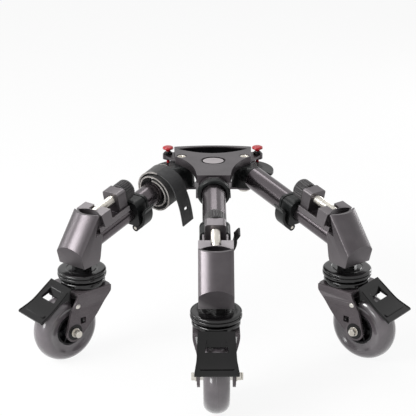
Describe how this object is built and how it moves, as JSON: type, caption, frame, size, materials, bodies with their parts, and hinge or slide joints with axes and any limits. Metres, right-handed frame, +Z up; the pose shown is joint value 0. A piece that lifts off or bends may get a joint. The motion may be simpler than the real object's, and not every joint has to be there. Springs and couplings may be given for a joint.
{
  "type": "tripod dolly",
  "caption": "Three-legged rolling dolly for a tripod: hub with carry handle, telescopic legs that fold, foot clamps, swivel casters with foot brakes.",
  "frame": {"origin": "on the floor under the middle of the whole dolly", "axes": "+X to the right of the fixed leg seen from it, +Y from the fixed leg to the handle, +Z up"},
  "size_m": [0.4226, 0.351, 0.1823],
  "materials": {
    "satin_aluminium": "satin anodised, warm grey",
    "painted_casting": "satin metallic paint, warm grey",
    "black_plastic": "fine moulded grain",
    "black_steel": "gloss black coat",
    "black_casting": "gloss black coat on cast iron",
    "bright_steel": "bright zinc",
    "smoke_tyre": "smooth smoke grey",
    "red_plastic": "gloss",
    "webbing": "woven, hook and loop"
  },
  "bodies": {
    "hub": {"hub_casting": "satin_aluminium", "hub_base_plate": "satin_aluminium", "front_socket_ring": "black_plastic", "left_pivot_bolt": "bright_steel", "right_pivot_bolt": "bright_steel", "left_lock_sleeve": "black_steel", "right_lock_sleeve": "black_steel", "front_outer_tube": "satin_aluminium", "front_clamp_collar": "black_plastic", "front_lever_pin": "black_steel"},
    "left_leg": {"left_knuckle": "black_plastic", "left_outer_tube": "satin_aluminium", "left_clamp_collar": "black_plastic", "left_lever_pin": "black_steel", "strap": "webbing"},
    "right_leg": {"right_knuckle": "black_plastic", "right_outer_tube": "satin_aluminium", "right_clamp_collar": "black_plastic", "right_lever_pin": "black_steel"},
    "left_lock_pin": {"left_lock_knob": "red_plastic"},
    "right_lock_pin": {"right_lock_knob": "red_plastic"},
    "front_foot": {"front_inner_tube": "satin_aluminium", "front_foot_block": "painted_casting", "front_mount_bracket": "satin_aluminium", "front_caster_plate": "black_steel"},
    "front_jaw": {"front_moving_jaw": "satin_aluminium"},
    "front_screw": {"front_clamp_screw": "bright_steel", "front_clamp_knob": "black_plastic"},
    "front_lever": {"front_cam_lever": "black_plastic"},
    "front_caster": {"front_caster_fork": "black_steel", "front_axle_bolt": "bright_steel"},
    "front_wheel": {"front_wheel_core": "black_casting", "front_tyre": "smoke_tyre"},
    "front_pedal": {"front_brake_pedal": "black_steel"},
    "left_foot": {"left_inner_tube": "satin_aluminium", "left_foot_block": "painted_casting", "left_mount_bracket": "satin_aluminium", "left_caster_plate": "black_steel"},
    "left_jaw": {"left_moving_jaw": "satin_aluminium"},
    "left_screw": {"left_clamp_screw": "bright_steel", "left_clamp_knob": "black_plastic"},
    "left_lever": {"left_cam_lever": "black_plastic"},
    "left_caster": {"left_caster_fork": "black_steel", "left_axle_bolt": "bright_steel"},
    "left_wheel": {"left_wheel_core": "black_casting", "left_tyre": "smoke_tyre"},
    "left_pedal": {"left_brake_pedal": "black_steel"},
    "right_foot": {"right_inner_tube": "satin_aluminium", "right_foot_block": "painted_casting", "right_mount_bracket": "satin_aluminium", "right_caster_plate": "black_steel"},
    "right_jaw": {"right_moving_jaw": "satin_aluminium"},
    "right_screw": {"right_clamp_screw": "bright_steel", "right_clamp_knob": "black_plastic"},
    "right_lever": {"right_cam_lever": "black_plastic"},
    "right_caster": {"right_caster_fork": "black_steel", "right_axle_bolt": "bright_steel"},
    "right_wheel": {"right_wheel_core": "black_casting", "right_tyre": "smoke_tyre"},
    "right_pedal": {"right_brake_pedal": "black_steel"}
  },
  "joints": [
    {"name": "left_fold", "type": "hinge", "parent": "hub", "child": "left_leg", "pos_m": [-0.0365, 0.138, 0.155], "axis": [0, 0, -1], "range_deg": [-12, 82.5]},
    {"name": "left_lock", "type": "slide", "parent": "hub", "child": "left_lock_pin", "axis": [0, 0, 1], "range_m": [0, 0.006], "stiffness_N_per_m": 150},
    {"name": "right_fold", "type": "hinge", "parent": "hub", "child": "right_leg", "pos_m": [0.0365, 0.138, 0.155], "axis": [0, 0, 1], "range_deg": [-12, 82.5]},
    {"name": "right_lock", "type": "slide", "parent": "hub", "child": "right_lock_pin", "axis": [0, 0, 1], "range_m": [0, 0.006], "stiffness_N_per_m": 150},
    {"name": "front_extend", "type": "slide", "parent": "hub", "child": "front_foot", "axis": [0, -0.9781, -0.2079], "range_m": [0, 0.035]},
    {"name": "front_clamp", "type": "slide", "parent": "front_foot", "child": "front_jaw", "axis": [0, -0.9781, -0.2079], "range_m": [-0.02, 0]},
    {"name": "front_knob", "type": "hinge", "parent": "front_jaw", "child": "front_screw", "pos_m": [0, -0.03357, 0.16702], "axis": [0, -0.9781, -0.2079], "range_deg": [-4800, 0]},
    {"name": "front_cam", "type": "hinge", "parent": "hub", "child": "front_lever", "pos_m": [0.00556, -0.01521, 0.12107], "axis": [0, 0.9781, 0.2079], "range_deg": [0, 100]},
    {"name": "front_swivel", "type": "hinge", "parent": "front_foot", "child": "front_caster", "pos_m": [0, -0.106, 0.093], "axis": [0, 0, 1], "continuous": true},
    {"name": "front_roll", "type": "hinge", "parent": "front_caster", "child": "front_wheel", "pos_m": [0, -0.131, 0.0375], "axis": [1, 0, 0], "continuous": true},
    {"name": "front_brake", "type": "hinge", "parent": "front_caster", "child": "front_pedal", "pos_m": [0, -0.1267, 0.0675], "axis": [1, 0, 0], "range_deg": [0, 7]},
    {"name": "left_extend", "type": "slide", "parent": "left_leg", "child": "left_foot", "axis": [-0.5955, -0.776, -0.2079], "range_m": [0, 0.035]},
    {"name": "left_clamp", "type": "slide", "parent": "left_foot", "child": "left_jaw", "axis": [-0.5955, -0.776, -0.2079], "range_m": [-0.02, 0]},
    {"name": "left_knob", "type": "hinge", "parent": "left_jaw", "child": "left_screw", "pos_m": [-0.09955, 0.05583, 0.16702], "axis": [-0.5955, -0.776, -0.2079], "range_deg": [-4800, 0]},
    {"name": "left_cam", "type": "hinge", "parent": "left_leg", "child": "left_lever", "pos_m": [-0.08396, 0.06701, 0.12107], "axis": [0.5955, 0.776, 0.2079], "range_deg": [0, 100]},
    {"name": "left_swivel", "type": "hinge", "parent": "left_foot", "child": "left_caster", "pos_m": [-0.14364, -0.00163, 0.093], "axis": [0, 0, 1], "continuous": true},
    {"name": "left_roll", "type": "hinge", "parent": "left_caster", "child": "left_wheel", "pos_m": [-0.16279, -0.0177, 0.0375], "axis": [0.6428, -0.766, 0], "continuous": true},
    {"name": "left_brake", "type": "hinge", "parent": "left_caster", "child": "left_pedal", "pos_m": [-0.1595, -0.01494, 0.0675], "axis": [0.6428, -0.766, 0], "range_deg": [0, 7]},
    {"name": "right_extend", "type": "slide", "parent": "right_leg", "child": "right_foot", "axis": [0.5955, -0.776, -0.2079], "range_m": [0, 0.035]},
    {"name": "right_clamp", "type": "slide", "parent": "right_foot", "child": "right_jaw", "axis": [0.5955, -0.776, -0.2079], "range_m": [-0.02, 0]},
    {"name": "right_knob", "type": "hinge", "parent": "right_jaw", "child": "right_screw", "pos_m": [0.09955, 0.05583, 0.16702], "axis": [0.5955, -0.776, -0.2079], "range_deg": [-4800, 0]},
    {"name": "right_cam", "type": "hinge", "parent": "right_leg", "child": "right_lever", "pos_m": [0.08396, 0.06701, 0.12107], "axis": [0.5955, -0.776, -0.2079], "range_deg": [0, 100]},
    {"name": "right_swivel", "type": "hinge", "parent": "right_foot", "child": "right_caster", "pos_m": [0.14364, -0.00163, 0.093], "axis": [0, 0, 1], "continuous": true},
    {"name": "right_roll", "type": "hinge", "parent": "right_caster", "child": "right_wheel", "pos_m": [0.16279, -0.0177, 0.0375], "axis": [0.6428, 0.766, 0], "continuous": true},
    {"name": "right_brake", "type": "hinge", "parent": "right_caster", "child": "right_pedal", "pos_m": [0.1595, -0.01494, 0.0675], "axis": [0.6428, 0.766, 0], "range_deg": [0, 7]}
  ],
  "couplings": [
    {"joint": "front_knob", "follows": "front_clamp", "rad_per_m": 4188.8},
    {"joint": "left_knob", "follows": "left_clamp", "rad_per_m": 4188.8},
    {"joint": "right_knob", "follows": "right_clamp", "rad_per_m": 4188.8}
  ]
}
